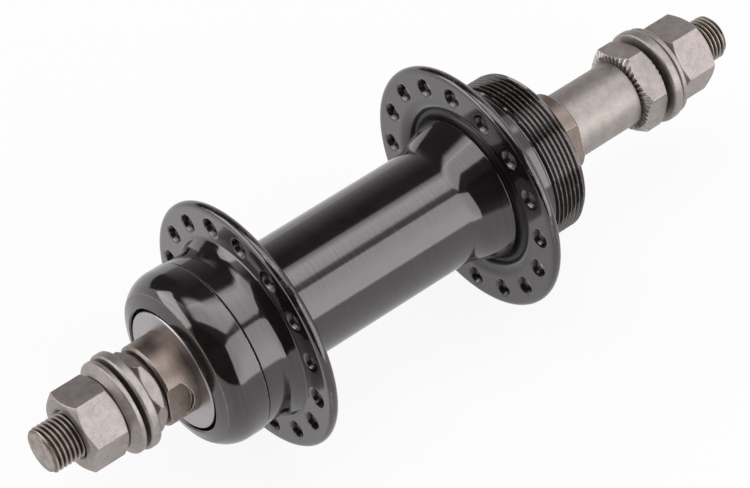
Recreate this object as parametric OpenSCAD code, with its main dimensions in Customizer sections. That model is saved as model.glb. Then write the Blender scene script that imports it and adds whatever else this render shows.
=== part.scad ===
// Bicycle rear hub with a freewheel thread, a solid nutted axle and cup-and-cone bearings.
// The hub turns about Y: +Y is the left end, -Y the freewheel end, and +Z is up.
// The origin lies on the axle, midway between the two faces that the frame clamps.

/* [Axle] */
// Diameter over the axle's thread
axle_d = 9.5; // [9:0.1:10]
// Length of the axle
axle_len = 171; // [165:1:180]
// Bevel on each axle end
axle_bevel = 0.6; // [0.3:0.1:1.2]
// Diameter of the plain middle of the axle
axle_waist_d = 8.8; // [8:0.1:9]
// How far the thread runs past the nose of each cone
axle_thread_past = 1; // [0.5:0.5:3]
// Width that the frame clamps, over both locknuts
over_locknuts = 130; // [128:0.5:132]

/* [Hub shell] */
// Diameter of the barrel
barrel_d = 25.2; // [24:0.2:26]
// Diameter of the bore through the barrel
barrel_bore_d = 18.8; // [17.5:0.1:19.2]
// Diameter of both spoke flanges
flange_d = 53.4; // [52:0.2:56]
// Thickness of a spoke flange
flange_t = 2.3; // [2.2:0.1:3]
// Rounding of the flange rims
rim_round = 0.5; // [0.3:0.1:1]
// Outer face of the left flange, from the centre
left_flange_y = 38.3; // [37.5:0.1:39]
// Inner face of the right flange, from the centre
right_flange_y = 17.6; // [17:0.1:18.4]
// Diameter of the left boss
boss_d = 36.2; // [35.6:0.1:36.4]
// Outer end of the left boss, from the centre
boss_end_y = 46.1; // [45.5:0.1:47]
// Diameter of the raised ring at the foot of the left boss
foot_d = 38.8; // [38:0.1:39.4]
// Height of that ring over the flange
foot_h = 0.5; // [0.3:0.1:0.8]
// Length of the cove between ring and boss
cove_h = 2.8; // [2:0.1:3.4]
// Fillet between barrel and left flange
barrel_fillet = 1.6; // [1:0.1:2]

/* [Flare at the freewheel side] */
// Start of the flare, from the centre
flare_y = 9.8; // [8:0.1:11]
// Diameter of the flare where it meets the flange
flare_d = 29.8; // [28.8:0.1:30.2]
// Radius that blends the barrel into the flare
flare_blend = 16; // [8:1:24]
// Radius of the round groove at the foot of the flare
groove_r = 1.35; // [1:0.05:1.5]

/* [Spoke holes] */
// Holes in each flange
spoke_count = 16; // [12:2:18]
// Diameter of the hole circle
spoke_pcd = 45; // [44.4:0.1:45.6]
// Diameter of a spoke hole
spoke_hole_d = 2.6; // [2.4:0.1:3]
// Diameter of a hole's countersink
spoke_sink_d = 4.2; // [3.6:0.1:4.4]

/* [Freewheel thread] */
// Diameter over the freewheel thread
freewheel_d = 34.9; // [34.6:0.1:35.2]
// Length of the freewheel thread
freewheel_len = 8.7; // [8.2:0.1:9.4]
// Bevel at the mouth of the thread
freewheel_bevel = 0.75; // [0.4:0.05:1]
// Diameter of the shoulder that the freewheel stops on
shoulder_d = 35.8; // [35.6:0.1:37]
// Length of that shoulder
shoulder_len = 6.2; // [5.6:0.1:6.8]
// Fillet between shoulder and flange
shoulder_fillet = 0.8; // [0.4:0.1:1.2]
// Width of the run-out groove between shoulder and thread
runout_w = 0.6; // [0.4:0.1:0.9]
// Depth of the run-out groove
runout_h = 0.6; // [0.4:0.1:0.8]

/* [Left end cap] */
// Diameter of the cap
cap_d = 36.8; // [36.6:0.1:37.4]
// Length of the cap
cap_len = 9; // [8.6:0.1:9.2]
// Radius of the cap's shoulder
cap_round = 6.4; // [6:0.1:6.8]
// Length of the cap's straight side
cap_straight = 3.2; // [2.8:0.1:3.4]
// Diameter of the opening around the dust cap
cap_mouth_d = 26.4; // [26:0.1:27]
// Rise of the sloped front face
cap_slope = 0.9; // [0.6:0.1:1.1]
// Bevel of the opening's edge
cap_lip = 0.3; // [0.1:0.05:0.4]
// Thickness of the front wall at its thinnest
cap_wall = 0.9; // [0.7:0.1:1.2]
// Diameter of the spigot that carries the cap
spigot_d = 32.8; // [32.4:0.1:33]
// Length of the spigot
spigot_len = 6.3; // [5.8:0.1:6.5]
// Bevel on both edges of the seam
seam_bevel = 0.25; // [0.1:0.05:0.4]

/* [Bearings] */
// Diameter of a ball
ball_d = 6.35; // [6.2:0.05:6.4]
// Balls on each side
ball_count = 9; // [7:1:9]
// Diameter of the circle of ball centres
ball_pcd = 19.2; // [19.1:0.1:19.6]
// Contact angle of the balls
contact_angle = 45; // [40:1:50]
// Race radius as a multiple of the ball's
race_ratio = 1.07; // [1.04:0.01:1.1]
// Running gap between ball and race
race_gap = 0.03; // [0.02:0.01:0.05]
// Outer diameter of a bearing cup
cup_d = 28.6; // [28.2:0.1:29]
// Length of a bearing cup
cup_len = 7.2; // [7:0.1:7.5]
// Thickness of the cup's floor under the race
cup_floor = 1.5; // [1.2:0.1:1.8]
// Diameter of the hole in the cup's floor
cup_hole_d = 15; // [14.4:0.1:15.6]
// How far the left cup sits inside the spigot
left_cup_inset = 0.15; // [0.1:0.05:0.5]
// How far the right cup sits inside the thread's mouth
right_cup_inset = 2.75; // [2.6:0.05:3]

/* [Cones] */
// Diameter of a cone's body
cone_d = 17.2; // [16.9:0.1:17.5]
// Outer face of the right cone, from the centre
right_cone_y = 42.6; // [42:0.1:43.4]
// Length of a cone's nose, up to the ball centres
cone_nose = 4; // [3.6:0.1:4.2]
// Bevel on the cone's nose
nose_bevel = 0.4; // [0.2:0.05:0.6]
// Bevel around the cone's outer face
cone_bevel = 0.45; // [0.3:0.05:0.7]
// Width across the wrench flats
cone_flats = 15; // [14.6:0.1:15.6]
// Length of the wrench flats
flats_len = 5; // [4:0.1:5.4]
// Radius of the milling cutter that ends the flats
flats_cutter_r = 6; // [5:0.5:9]

/* [Dust caps] */
// Thickness of the sheet
dust_t = 0.8; // [0.6:0.05:1]
// Depth of the turned rim and collar
dust_depth = 1.3; // [1.1:0.1:1.4]
// Rounding of the rim
dust_round = 0.4; // [0.2:0.05:0.5]
// Gap between the left dust cap and the opening of the end cap
left_dust_gap = 0.6; // [0.3:0.05:0.8]
// Gap between the right dust cap and the bore around it
right_dust_gap = 0.4; // [0.3:0.05:0.8]
// How far the right dust cap sits inside the thread's mouth
right_dust_inset = 0.5; // [0.4:0.1:0.6]

/* [Locknuts and spacer] */
// Width across the left locknut
left_locknut_af = 15; // [14.6:0.1:15.4]
// Thickness of the left locknut
left_locknut_t = 3.7; // [3.4:0.1:4]
// Bevel angle of the left locknut
left_locknut_slope = 42; // [30:1:45]
// Share of the left locknut's thickness that each bevel takes at a corner
left_locknut_share = 0.42; // [0.2:0.01:0.48]
// Width across the right locknut
right_locknut_af = 17; // [16.6:0.1:17.4]
// Thickness of the right locknut
right_locknut_t = 5.8; // [5.2:0.1:6.2]
// Bevel angle of the right locknut
right_locknut_slope = 38; // [25:1:42]
// Serrations on each face of the right locknut
serrations = 44; // [30:2:48]
// Depth of a serration
serration_h = 0.45; // [0.3:0.05:0.6]
// Share of its pitch that a serration's notch takes
serration_share = 0.9; // [0.6:0.05:0.95]
// Distance from the axle to the start of the serrations
serration_start = 1.4; // [1:0.1:2]
// Diameter of the spacer tube
spacer_d = 14.2; // [13.8:0.1:14.8]
// Bevel on the ends of the spacer tube
spacer_bevel = 0.3; // [0.1:0.05:0.5]

/* [Washers] */
// Diameter of a loose washer
washer_d = 20.4; // [19.8:0.1:21]
// Thickness of a loose washer
washer_t = 2.3; // [2:0.1:2.4]
// Diameter of the hole in a loose washer
washer_bore_d = 10.1; // [10.1:0.1:10.5]
// Rounding of the washer's edge
washer_round = 0.6; // [0.3:0.1:0.9]
// Gap between left locknut and washer
left_washer_gap = 0.1; // [0.1:0.05:0.3]
// Gap between right locknut and washer
right_washer_gap = 0.7; // [0.1:0.05:0.8]

/* [Axle nuts] */
// Inner face of a nut's flange, from the locknut's outer face
nut_stand = 3.25; // [3.25:0.05:3.6]
// Diameter of a nut's flange
nut_flange_d = 19.6; // [19:0.1:20.2]
// Thickness of a nut's flange beside the hexagon
nut_flange_t = 2.3; // [2.1:0.1:2.6]
// Thickness of a nut's flange at the rim
nut_flange_rim = 1.2; // [1:0.1:1.4]
// Rounding of the flange's rim
nut_flange_round = 0.35; // [0.2:0.05:0.45]
// Land on the flange outside the nut's flats
nut_flange_land = 0.2; // [0.1:0.05:0.5]
// Width across an axle nut
nut_af = 15; // [14.6:0.1:15.6]
// Bevel angle of an axle nut
nut_slope = 32; // [20:1:40]
// How far a hexagon's round end face stays inside its flats
face_inset = 0.2; // [0:0.05:0.4]
// Height of the nut's hexagon
nut_h = 8.4; // [7.6:0.1:8.6]
// Diameter of the collar that carries the flange
nut_collar_d = 12.4; // [12.2:0.1:12.6]
// Overhang of the rolled lip that keeps the flange on
nut_lip = 0.5; // [0.3:0.05:0.6]
// Height of that lip
nut_lip_h = 0.5; // [0.4:0.05:0.6]
// How far the lip sits inside the flange
nut_lip_inset = 0.25; // [0.2:0.05:0.4]

/* [Turned position] */
// Angle of the first hole of the left flange
left_hole_turn = 0; // [0:0.5:22]
// Angle of the first hole of the right flange
right_hole_turn = 11.25; // [0:0.25:22]
// Angle of the first ball of each bearing
ball_turn = 5; // [0:1:39]
// Angle of a corner of the left axle nut
left_nut_turn = 41; // [0:1:60]
// Angle of a corner of the right axle nut
right_nut_turn = 44.5; // [0:0.5:60]
// Angle of a corner of the left locknut
left_locknut_turn = 38; // [0:1:60]
// Angle of a corner of the right locknut
right_locknut_turn = 35.5; // [0:0.5:60]
// Angle of a wrench flat of the left cone
left_cone_turn = 172; // [0:1:180]
// Angle of a wrench flat of the right cone
right_cone_turn = 160; // [0:1:180]

/* [Hidden] */
$fn = 96;

// Clearances, how far a cutter or a join runs past a face, and a length beyond everything
seat_gap = 0.02;
thread_gap = 0.04;
run_gap = 0.06;
spacer_gap = 0.15;
past = 1;
far = 200;

// Radii
axle_r = axle_d / 2;
barrel_r = barrel_d / 2;
flange_r = flange_d / 2;
boss_r = boss_d / 2;
foot_r = foot_d / 2;
flare_r = flare_d / 2;
freewheel_r = freewheel_d / 2;
spigot_r = spigot_d / 2;
cap_r = cap_d / 2;
mouth_r = cap_mouth_d / 2;
cup_r = cup_d / 2;
cone_r = cone_d / 2;
ball_r = ball_d / 2;
pitch_r = ball_pcd / 2;
collar_r = nut_collar_d / 2;

// Races: an arc a little wider than the ball, shifted so that it touches at the contact angle
race_r = ball_r * race_ratio;
race_shift = race_r - ball_r - race_gap;
shift_out = race_shift * cos(contact_angle);
shift_along = race_shift * sin(contact_angle);
cup_depth = race_r - shift_along + cup_floor;

// Stations of the left half, away from the centre
locknut_y = over_locknuts / 2;
left_inner_y = left_flange_y - flange_t;
spigot_y = boss_end_y + spigot_len;
cap_front_y = boss_end_y + cap_len;
left_cup_y = spigot_y - left_cup_inset - cup_len;
left_ball_y = left_cup_y + cup_depth;
left_cone_y = locknut_y - left_locknut_t;

// Stations of the right half, away from the centre
right_outer_y = right_flange_y + flange_t;
thread_y = right_outer_y + shoulder_len;
shell_end_y = thread_y + freewheel_len;
right_cup_y = shell_end_y - right_cup_inset - cup_len;
right_ball_y = right_cup_y + cup_depth;
right_locknut_y = locknut_y - right_locknut_t;

// Stations of both axle nuts, away from the centre
nut_flange_y = locknut_y + nut_stand;
nut_y = nut_flange_y + nut_flange_t + run_gap;

// Places a shape in the left half: its Z, away from the centre, becomes +Y
module left_side() {
    mirror([0, 1, 0]) rotate([90, 0, 0]) children();
}

// Places a shape in the right half: its Z, away from the centre, becomes -Y
module right_side() {
    rotate([90, 0, 0]) children();
}

// A band of a turned profile, from height y0 to y1 and from radius r0 to r1
module band(y0, y1, r0, r1) {
    translate([r0, y0]) square([r1 - r0, y1 - y0]);
}

// A band whose two outer corners are rounded
module rounded_band(y0, y1, r0, r1, round_r) {
    band(y0, y1, r0, r1 - round_r);
    band(y0 + round_r, y1 - round_r, r0, r1);
    for (y = [y0 + round_r, y1 - round_r])
        translate([r1 - round_r, y]) circle(round_r);
}

// A band with straight bevels at its outer corners: b0 at y0 and b1 at y1
module bevelled_band(y0, y1, r0, r1, b0, b1) {
    polygon([[r0, y0], [r1 - b0, y0], [r1, y0 + b0], [r1, y1 - b1], [r1 - b1, y1], [r0, y1]]);
}

// A fillet between a cylinder of radius r and a wall at height y, on the wall's side dir
module fillet(r, y, fillet_r, dir) {
    difference() {
        translate([r - fillet_r, y + min(0, dir * fillet_r)]) square([2 * fillet_r, fillet_r]);
        translate([r + fillet_r, y + dir * fillet_r]) circle(fillet_r);
    }
}

// A hexagon with bevelled corners and a flat face of radius face_r at each end
module hexagon(af, y0, y1, turn, face_r, slope) {
    h = y1 - y0;
    wide_r = face_r + h / tan(slope);
    translate([0, 0, y0]) intersection() {
        rotate(turn) cylinder(d = af / cos(30), h = h, $fn = 6);
        cylinder(r1 = face_r, r2 = wide_r, h = h);
        cylinder(r1 = wide_r, r2 = face_r, h = h);
    }
}

// Cuts a bore for the axle through the shapes of one half
module bored(bore_r) {
    difference() {
        union() children();
        cylinder(r = bore_r, h = far);
    }
}

// The axle: threaded ends and a plain waist inside the barrel
module axle() {
    waist_left = left_ball_y - cone_nose - axle_thread_past;
    waist_right = right_ball_y - cone_nose - axle_thread_past;
    color([0.45, 0.43, 0.41]) left_side() rotate_extrude() difference() {
        bevelled_band(-axle_len / 2, axle_len / 2, 0, axle_r, axle_bevel, axle_bevel);
        band(-waist_right, waist_left, axle_waist_d / 2, far);
    }
}

// Outline of the shell's left end: flange, raised ring, cove, boss and spigot
module left_end_profile() {
    cove_r = (pow(cove_h, 2) + pow(foot_r - boss_r, 2)) / (2 * (foot_r - boss_r));
    cove_y = left_flange_y + foot_h + cove_h;
    rounded_band(left_inner_y, left_flange_y, 0, flange_r, rim_round);
    difference() {
        band(left_inner_y + rim_round, cove_y, 0, foot_r);
        translate([boss_r + cove_r, cove_y]) circle(cove_r);
    }
    bevelled_band(left_flange_y, boss_end_y, 0, boss_r, 0, seam_bevel);
    bevelled_band(left_flange_y, spigot_y, 0, spigot_r, 0, seam_bevel);
}

// Outline of the barrel and of the flare, blended by an arc
module barrel_profile() {
    angle = atan((flare_r - barrel_r) / (right_flange_y - flare_y));
    reach = flare_blend * tan(angle / 2);
    difference() {
        polygon([
            [0, -right_outer_y + rim_round], [flare_r, -right_outer_y + rim_round],
            [flare_r, -right_flange_y],
            [barrel_r + reach * sin(angle), -flare_y - reach * cos(angle)],
            [barrel_r, reach - flare_y],
            [barrel_r, left_inner_y + rim_round], [0, left_inner_y + rim_round]
        ]);
        translate([barrel_r + flare_blend, reach - flare_y]) circle(flare_blend);
    }
    fillet(barrel_r, left_inner_y, barrel_fillet, -1);
}

// Outline of the shell's right end: grooved flange, shoulder and freewheel thread
module right_end_profile() {
    difference() {
        rounded_band(-right_outer_y, -right_flange_y, 0, flange_r, rim_round);
        translate([flare_r + groove_r, -right_flange_y]) circle(groove_r);
    }
    fillet(shoulder_d / 2, -right_outer_y, shoulder_fillet, -1);
    bevelled_band(-thread_y, -right_outer_y, 0, shoulder_d / 2, seam_bevel, 0);
    band(-thread_y - runout_w, -thread_y, 0, freewheel_r - runout_h);
    bevelled_band(-shell_end_y, -thread_y - runout_w, 0, freewheel_r, freewheel_bevel, runout_h);
}

// One ring of spoke holes through a flange that starts at height y, countersunk on both faces
module spoke_holes(y, turn) {
    sink_h = (spoke_sink_d - spoke_hole_d) / 2;
    for (i = [0 : spoke_count - 1])
        rotate(turn + i * 360 / spoke_count) translate([spoke_pcd / 2, 0, y]) {
            translate([0, 0, -past]) cylinder(d = spoke_hole_d, h = flange_t + 2 * past);
            cylinder(d1 = spoke_sink_d, d2 = spoke_hole_d, h = sink_h);
            translate([0, 0, flange_t - sink_h])
                cylinder(d1 = spoke_hole_d, d2 = spoke_sink_d, h = sink_h);
        }
}

// The hub shell: one turned body from the cap's spigot to the freewheel thread
module hub_shell() {
    color([0.06, 0.06, 0.065]) left_side() difference() {
        rotate_extrude() difference() {
            union() {
                left_end_profile();
                barrel_profile();
                right_end_profile();
            }
            band(-far, far, 0, barrel_bore_d / 2);
            band(left_cup_y, far, 0, cup_r + seat_gap);
            band(-far, -right_cup_y, 0, cup_r + seat_gap);
        }
        spoke_holes(left_inner_y, left_hole_turn);
        spoke_holes(-right_outer_y, right_hole_turn);
    }
}

// The rounded cap over the left end: a shoulder arc, a crease and a sloped front face
module left_end_cap() {
    arc_y = boss_end_y + cap_straight;
    crease_y = cap_front_y - cap_slope;
    crease_r = cap_r - cap_round + sqrt(pow(cap_round, 2) - pow(crease_y - arc_y, 2));
    color([0.06, 0.06, 0.065]) left_side() rotate_extrude() difference() {
        intersection() {
            union() {
                bevelled_band(boss_end_y, arc_y, 0, cap_r, seam_bevel, 0);
                band(arc_y, cap_front_y, 0, cap_r - cap_round);
                translate([cap_r - cap_round, arc_y]) circle(cap_round);
            }
            polygon([
                [0, boss_end_y], [cap_r + past, boss_end_y], [cap_r + past, crease_y],
                [crease_r, crease_y], [mouth_r + cap_lip, cap_front_y], [0, cap_front_y]
            ]);
        }
        band(0, spigot_y + seat_gap, 0, spigot_r + seat_gap);
        band(0, crease_y - cap_wall, 0, spigot_r - cap_wall);
        polygon([
            [0, 0], [mouth_r, 0], [mouth_r, cap_front_y - cap_lip],
            [mouth_r + 2 * cap_lip, cap_front_y + cap_lip], [0, cap_front_y + cap_lip]
        ]);
    }
}

// A pressed cup: its race arc opens outwards, and its mouth lets the dust cap near the balls
module bearing_cup(cup_y) {
    centre_r = pitch_r - shift_out;
    centre_y = cup_y + cup_depth + shift_along;
    rotate_extrude() difference() {
        bevelled_band(cup_y, cup_y + cup_len, cup_hole_d / 2, cup_r, seam_bevel, seam_bevel);
        translate([centre_r, centre_y]) circle(race_r);
        band(centre_y, far, 0, centre_r + race_r);
        band(centre_y - race_r, far, 0, centre_r);
    }
}

module left_bearing_cup() {
    color([0.62, 0.62, 0.63]) left_side() bearing_cup(left_cup_y);
}

module right_bearing_cup() {
    color([0.62, 0.62, 0.63]) right_side() bearing_cup(right_cup_y);
}

// A full ring of loose balls
module ball_ring(ball_y) {
    for (i = [0 : ball_count - 1])
        rotate(ball_turn + i * 360 / ball_count) translate([pitch_r, 0, ball_y]) sphere(ball_r);
}

module left_balls() {
    color([0.8, 0.8, 0.82]) left_side() ball_ring(left_ball_y);
}

module right_balls() {
    color([0.8, 0.8, 0.82]) right_side() ball_ring(right_ball_y);
}

// A cone: nose, ground race arc, round body and two milled wrench flats that end in an arc
module cone(ball_y, face_y, turn) {
    centre_r = pitch_r + shift_out;
    centre_y = ball_y - shift_along;
    nose_y = ball_y - cone_nose;
    nose_r = centre_r - race_r;
    difference() {
        rotate_extrude() difference() {
            bevelled_band(nose_y, face_y, axle_r + seat_gap, cone_r, 0, cone_bevel);
            translate([centre_r, centre_y]) circle(race_r);
            band(nose_y, centre_y, nose_r, far);
            polygon([
                [nose_r - nose_bevel, nose_y], [nose_r + past, nose_y],
                [nose_r + past, nose_y + nose_bevel + past]
            ]);
        }
        for (side = [0, 180])
            rotate(turn + side) translate([cone_flats / 2, 0, face_y - flats_len + flats_cutter_r]) {
                rotate([0, 90, 0]) cylinder(r = flats_cutter_r, h = cone_r);
                translate([0, -flats_cutter_r, 0]) cube([cone_r, 2 * flats_cutter_r, flats_len]);
            }
    }
}

module left_cone() {
    color([0.5, 0.47, 0.44]) left_side() cone(left_ball_y, left_cone_y, left_cone_turn);
}

module right_cone() {
    color([0.56, 0.54, 0.52]) right_side() cone(right_ball_y, right_cone_y, right_cone_turn);
}

// A pressed dust cap on a cone: collar, plate and a turned rim with a rounded edge
module dust_cap(face_y, rim_r) {
    collar_in = cone_r + seat_gap;
    rotate_extrude() difference() {
        union() {
            band(face_y - dust_depth, face_y - dust_round, collar_in, rim_r);
            band(face_y - dust_depth, face_y, collar_in, rim_r - dust_round);
            translate([rim_r - dust_round, face_y - dust_round]) circle(dust_round);
        }
        band(0, face_y - dust_t, collar_in + dust_t, rim_r - dust_t);
    }
}

module left_dust_cap() {
    color([0.66, 0.65, 0.65]) left_side() dust_cap(cap_front_y, mouth_r - left_dust_gap);
}

module right_dust_cap() {
    color([0.66, 0.65, 0.65]) right_side()
        dust_cap(shell_end_y - right_dust_inset, cup_r - right_dust_gap);
}

// The thin left locknut, bevelled so far on both sides that its flats are lens-shaped
module left_locknut() {
    corner_r = left_locknut_af / 2 / cos(30);
    face_r = corner_r - left_locknut_share * left_locknut_t / tan(left_locknut_slope);
    color([0.56, 0.54, 0.52]) left_side() bored(axle_r + seat_gap)
        hexagon(left_locknut_af, left_cone_y, locknut_y, left_locknut_turn, face_r,
            left_locknut_slope);
}

// Radial notches around a face at height y, cut to the serration's depth
module face_notches(y, inner_r) {
    half_w = serration_share * PI * inner_r / serrations;
    for (i = [0 : serrations - 1])
        rotate(i * 360 / serrations) translate([inner_r, 0, y]) rotate([0, 90, 0])
            linear_extrude(right_locknut_af / 2) polygon([
                [-serration_h, 0], [0, -half_w], [serration_h, 0], [0, half_w]
            ]);
}

// The thick right locknut, serrated on both faces to grip the frame and the spacer
module right_locknut() {
    face_r = right_locknut_af / 2 - face_inset;
    notch_r = axle_r + serration_start;
    color([0.56, 0.54, 0.52]) right_side() difference() {
        bored(axle_r + seat_gap)
            hexagon(right_locknut_af, right_locknut_y, locknut_y, right_locknut_turn, face_r,
                right_locknut_slope);
        face_notches(right_locknut_y, notch_r);
        face_notches(locknut_y, notch_r);
    }
}

// The spacer tube between right cone and right locknut
module right_spacer() {
    color([0.64, 0.62, 0.6]) right_side() rotate_extrude()
        bevelled_band(right_cone_y, right_locknut_y, axle_r + spacer_gap, spacer_d / 2,
            spacer_bevel, spacer_bevel);
}

// A thick loose washer with a rounded edge
module loose_washer(gap) {
    rotate_extrude() rounded_band(locknut_y + gap, locknut_y + gap + washer_t, washer_bore_d / 2,
        washer_d / 2, washer_round);
}

module left_washer() {
    color([0.55, 0.53, 0.51]) left_side() loose_washer(left_washer_gap);
}

module right_washer() {
    color([0.55, 0.53, 0.51]) right_side() loose_washer(right_washer_gap);
}

// The conical flange that turns freely on a nut's collar, with a recess for the nut's lip
module nut_flange() {
    rim_y = nut_flange_y + nut_flange_rim;
    top_y = nut_flange_y + nut_flange_t;
    rim_r = nut_flange_d / 2;
    recess_y = nut_flange_y + nut_lip_inset + nut_lip_h + run_gap;
    rotate_extrude() difference() {
        union() {
            rounded_band(nut_flange_y, rim_y, 0, rim_r, nut_flange_round);
            polygon([
                [0, rim_y - nut_flange_round], [rim_r - nut_flange_round, rim_y],
                [nut_af / 2 + nut_flange_land, top_y], [0, top_y]
            ]);
        }
        band(0, far, 0, collar_r + run_gap);
        band(0, recess_y, 0, collar_r + nut_lip + run_gap);
    }
}

module left_nut_flange() {
    color([0.6, 0.58, 0.56]) left_side() nut_flange();
}

module right_nut_flange() {
    color([0.6, 0.58, 0.56]) right_side() nut_flange();
}

// An axle nut: bevelled hexagon, collar through the flange, and the rolled lip behind it
module axle_nut(turn) {
    lip_y = nut_flange_y + nut_lip_inset;
    face_r = nut_af / 2 - face_inset;
    bored(axle_r + thread_gap) {
        hexagon(nut_af, nut_y, nut_y + nut_h, turn, face_r, nut_slope);
        rotate_extrude() {
            band(lip_y, nut_y + past, 0, collar_r);
            band(lip_y, lip_y + nut_lip_h, 0, collar_r + nut_lip);
        }
    }
}

module left_axle_nut() {
    color([0.6, 0.58, 0.56]) left_side() axle_nut(left_nut_turn);
}

module right_axle_nut() {
    color([0.6, 0.58, 0.56]) right_side() axle_nut(right_nut_turn);
}

axle();
hub_shell();
left_end_cap();
left_bearing_cup();
right_bearing_cup();
left_balls();
right_balls();
left_cone();
right_cone();
left_dust_cap();
right_dust_cap();
left_locknut();
right_locknut();
right_spacer();
left_washer();
right_washer();
left_nut_flange();
right_nut_flange();
left_axle_nut();
right_axle_nut();
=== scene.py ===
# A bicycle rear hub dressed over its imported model: gloss black shell, dull steel axle set.
# Lengths are in millimetres until a mesh is written. The hub turns about Y, and Z is up.
import math

import bmesh
import bpy
import numpy as np
from mathutils import Matrix, Vector


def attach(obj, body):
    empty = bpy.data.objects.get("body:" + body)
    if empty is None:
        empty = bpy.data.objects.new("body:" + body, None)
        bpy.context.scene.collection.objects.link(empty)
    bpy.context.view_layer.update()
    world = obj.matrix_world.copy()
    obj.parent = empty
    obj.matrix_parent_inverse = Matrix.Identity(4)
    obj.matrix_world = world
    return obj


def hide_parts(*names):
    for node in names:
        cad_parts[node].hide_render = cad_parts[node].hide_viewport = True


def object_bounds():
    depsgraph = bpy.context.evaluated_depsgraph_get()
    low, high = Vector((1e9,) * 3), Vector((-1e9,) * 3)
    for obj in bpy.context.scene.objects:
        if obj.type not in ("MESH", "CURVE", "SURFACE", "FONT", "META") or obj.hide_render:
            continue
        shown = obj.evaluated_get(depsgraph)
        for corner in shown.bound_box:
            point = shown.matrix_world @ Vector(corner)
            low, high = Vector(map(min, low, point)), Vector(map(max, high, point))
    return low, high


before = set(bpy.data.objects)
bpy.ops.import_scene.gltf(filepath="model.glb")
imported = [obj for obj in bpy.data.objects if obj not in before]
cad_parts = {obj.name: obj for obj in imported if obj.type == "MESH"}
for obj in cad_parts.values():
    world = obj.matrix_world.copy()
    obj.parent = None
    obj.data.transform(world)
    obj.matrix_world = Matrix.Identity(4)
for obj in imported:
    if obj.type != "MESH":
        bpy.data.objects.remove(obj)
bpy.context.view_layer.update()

MM = 0.001
INCH = 25.4
SIDES = 192
AXLE_SIDES = 96
WELD = 2e-6
SMOOTH_BELOW = math.radians(33)

# Flanges: heights along Y from the hub's centre, rims, flat bands and rings of spoke holes
FLANGE_R = 26.7
FLANGE_T = 2.3
RIM_ROUND = 1.1
LEFT_OUT = 38.3
LEFT_IN = LEFT_OUT - FLANGE_T
RIGHT_IN = -17.6
RIGHT_OUT = RIGHT_IN - FLANGE_T
BAND_IN = 19.88
BAND_OUT = 25.3
SPOKES = 16
SPOKE_STEP = 360 / SPOKES
LEFT_PHASE = 0.0
RIGHT_PHASE = SPOKE_STEP / 2
HOLE_CIRCLE = 22.5
HOLE_R = 1.3
HOLE_START = 60
SINK_R = 2.1
SINK_ROLL = 0.8
SINK_EDGE = 2.5

# Waist: barrel, flare and the groove at the flare's foot
BARREL_R = 12.6
BARREL_Y = -5.0
NECK_ROUND = 1.6
FLARE_Y = -10.8
GROOVE_R = 16.7
GROOVE_HALF = 1.2
GROOVE_STRETCH = 1.45

# Left end of the shell: fillet, boss, seam and spigot
FILLET_R = 3.665
FILLET_Y = 41.6
FOOT_R = 19.5
BOSS_R = 18.1
BOSS_BEVEL = 0.25
SEAM_Y = 46.1
SPIGOT_R = 16.4
SPIGOT_Y = 52.4

# Bores of the shell: the seats of both bearing cups and the passage between them
CUP_R = 14.32
LEFT_CUP_Y = 45.05
RIGHT_CUP_Y = -24.85
BORE_R = 9.4

# End cap
CAP_FIT = 0.02
CAP_R = 18.4
CAP_BEVEL = 0.25
CAP_ROUND = 6.4
CAP_ROUND_Y = 49.3
CAP_ROUND_END = 49.96
CREASE_R = 16.117
CREASE_Y = 54.2
CAP_FACE_Y = 55.1
CAP_MOUTH_R = 13.2
CAP_LIP = 0.3
LEDGE_R = 15.5
LEDGE_Y = 53.3

# Right end of the shell: shoulder and freewheel thread
SHOULDER_R = 17.9
SHOULDER_FILLET = 0.8
SHOULDER_BEVEL = 0.25
THREAD_Y = RIGHT_OUT - 6.2
MOUTH_Y = THREAD_Y - 8.7
MOUTH_R = 16.7
RUNOUT = 0.6
RUNOUT_R = 16.85
ROOT_R = 16.86
CREST_R = 17.45
FREEWHEEL_PITCH = INCH / 24

# Axle set
AXLE_R = 4.75
AXLE_ROOT = 4.2
AXLE_WAIST = 4.4
AXLE_END = 85.5
AXLE_BEVEL = 0.6
AXLE_THREAD_Y = 64.3
AXLE_PITCH = INCH / 26
LEFT_CONE_Y = 44.81
RIGHT_CONE_Y = -24.61
LOCKNUT_Y = 65.0
LEFT_LOCKNUT_IN = 61.3
RIGHT_LOCKNUT_IN = LOCKNUT_Y - 5.8
LEFT_LOCKNUT_AF = 15.0
RIGHT_LOCKNUT_AF = 17.0
LOCKNUT_BORE = 4.77
LOCKNUT_MOUTH = 5.3
LOCKNUT_BEVEL = 0.5
TEETH = 44
TEETH_R = 6.1
TOOTH_DEPTH = 0.45
TOOTH_SHARE = 0.8
NUT_NEAR = 70.61
NUT_FAR = 79.01
NUT_AF = 15.0
NUT_BORE = 4.79
NUT_MOUTH = 0.61
COLLAR_R = 6.2
COLLAR_Y = 69.0
LIP_R = 6.7
LIP_Y = 68.5

# Studio: places and sizes in metres
CAMERA_PLACE = (-0.31616, 0.26892, 0.46147)
CAMERA_BACK = (-0.5114, 0.4263, 0.7461)
CAMERA_LENS = 152.19
WORLD_FILL = 0.2
WORLD_DARK = 0.9
BOARD_TINT = (1.0, 0.95, 0.96, 1.0)
SOFT_EDGE = 0.16
WHITE = (1.0, 1.0, 1.0, 1.0)
FLOOR_GREY = (0.8, 0.8, 0.8, 1.0)
FLOOR_HALF = 4.0
FLOOR_GAP = 0.0002
FLOOR_GLOW = 0.9
UNDER_HUB_SHADOW = 0.3

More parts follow.
